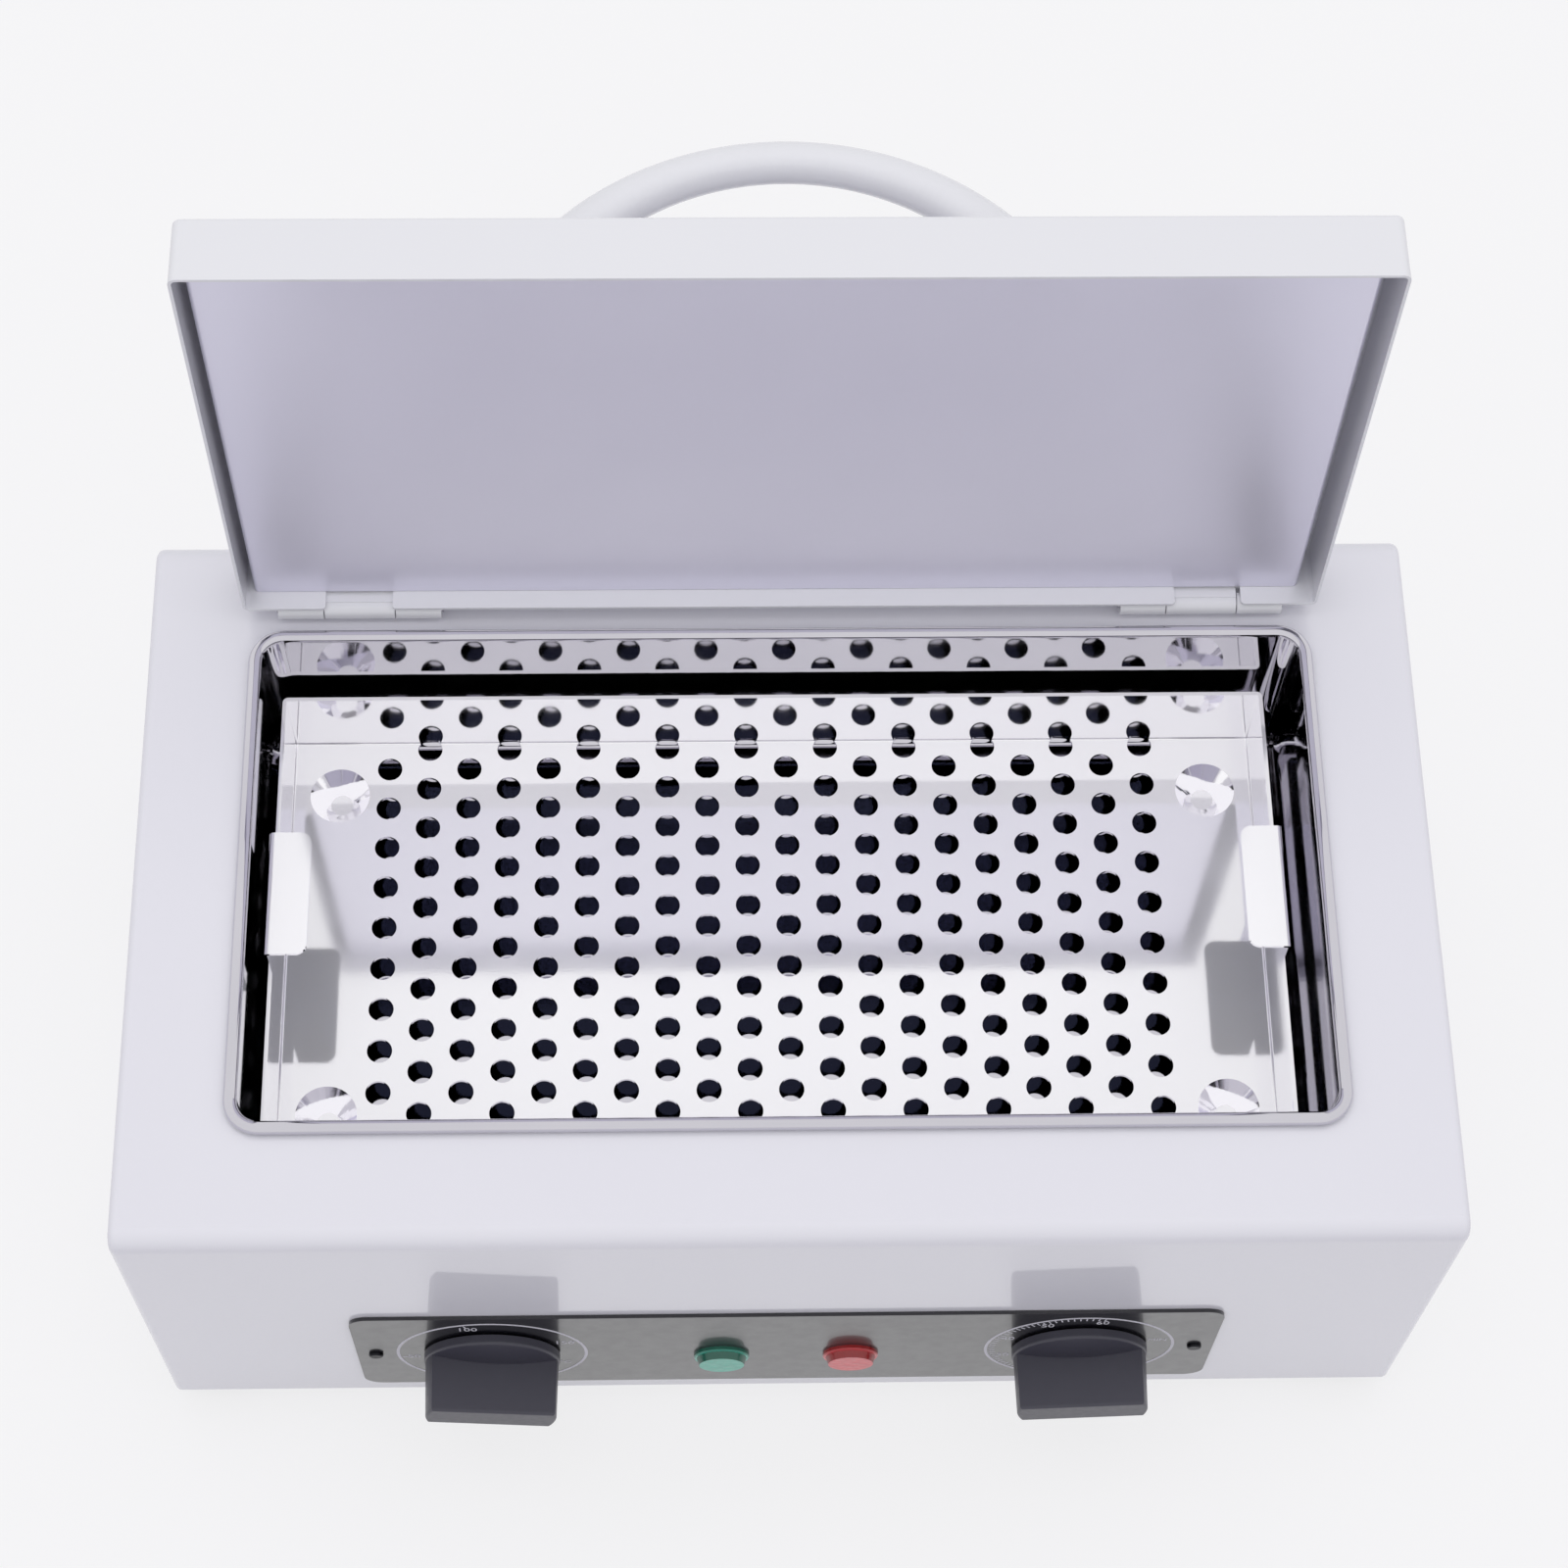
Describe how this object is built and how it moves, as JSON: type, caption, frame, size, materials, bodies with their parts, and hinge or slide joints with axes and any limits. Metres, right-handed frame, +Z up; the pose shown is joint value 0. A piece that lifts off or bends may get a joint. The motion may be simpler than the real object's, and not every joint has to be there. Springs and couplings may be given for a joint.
{
  "type": "dry heat sterilizer",
  "caption": "Bench dry heat sterilizer: sheet steel case with a polished tank and lift-out perforated tray, hinged lid with bow handle, temperature and timer knobs, indicator lamps.",
  "frame": {"origin": "on the surface it stands on, under the middle of the case", "axes": "+X to the right seen from the front, +Y to the back, +Z up"},
  "size_m": [0.33, 0.2581, 0.278],
  "materials": {
    "case_white": "white powder coat, slight texture, semi gloss",
    "lid_white": "white powder coat, semi gloss",
    "liner_grey": "smooth semi gloss, pale grey",
    "panel_black": "black, satin",
    "knob_black": "moulded black, satin",
    "polished_steel": "mirror polished stainless steel",
    "hinge_pin_steel": "bright steel",
    "green_lens": "green translucent",
    "red_lens": "red translucent",
    "black_plastic": "black plastic",
    "white_plastic": "white plastic",
    "foot_rubber": "black rubber",
    "zinc_steel": "zinc plated steel",
    "screw_black": "blackened steel",
    "heater_mica": "mica heater plate",
    "copper_bulb": "bare metal sensor",
    "insulation": "mineral fibre"
  },
  "bodies": {
    "housing": {"outer_case": "case_white", "base_plate": "case_white", "hinge_base_left": "lid_white", "hinge_base_right": "lid_white", "base_rivets": "lid_white", "front_panel": "panel_black", "tank": "polished_steel", "instrument_tray": "polished_steel", "hinge_pin_left": "hinge_pin_steel", "hinge_pin_right": "hinge_pin_steel", "green_lens": "green_lens", "red_lens": "red_lens", "lamp_bodies": "black_plastic", "thermostat_body": "black_plastic", "timer_body": "black_plastic", "cable_gland": "black_plastic", "gland_nut": "black_plastic", "terminal_block": "white_plastic", "feet": "foot_rubber", "foot_screws": "zinc_steel", "shield_nuts": "zinc_steel", "tank_clips": "zinc_steel", "heat_shield": "zinc_steel", "thermostat_nut": "zinc_steel", "timer_nut": "zinc_steel", "thermal_cutout": "zinc_steel", "panel_screws": "screw_black", "heater_plate": "heater_mica", "sensor_bulb": "copper_bulb", "insulation_pad": "insulation", "insulation_wrap": "insulation"},
    "lid": {"lid_shell": "lid_white", "lid_liner": "liner_grey", "lid_insulation": "insulation", "handle": "lid_white", "handle_screws": "zinc_steel", "hinge_leaf_left": "lid_white", "hinge_leaf_right": "lid_white", "leaf_rivets": "lid_white"},
    "temperature_dial": {"temperature_knob": "knob_black", "temperature_shaft": "hinge_pin_steel"},
    "timer_dial": {"timer_knob": "knob_black", "timer_shaft": "hinge_pin_steel"}
  },
  "joints": [
    {"name": "lid_hinge", "type": "hinge", "parent": "housing", "child": "lid", "pos_m": [0, 0.0756, 0.1313], "axis": [1, 0, 0], "range_deg": [0, 92]},
    {"name": "temperature_turn", "type": "hinge", "parent": "housing", "child": "temperature_dial", "pos_m": [-0.0771, -0.0985, 0.0426], "axis": [0, 1, 0], "range_deg": [-30, 235]},
    {"name": "timer_turn", "type": "hinge", "parent": "housing", "child": "timer_dial", "pos_m": [0.0771, -0.0985, 0.0426], "axis": [0, 1, 0], "range_deg": [-132, 108]}
  ]
}
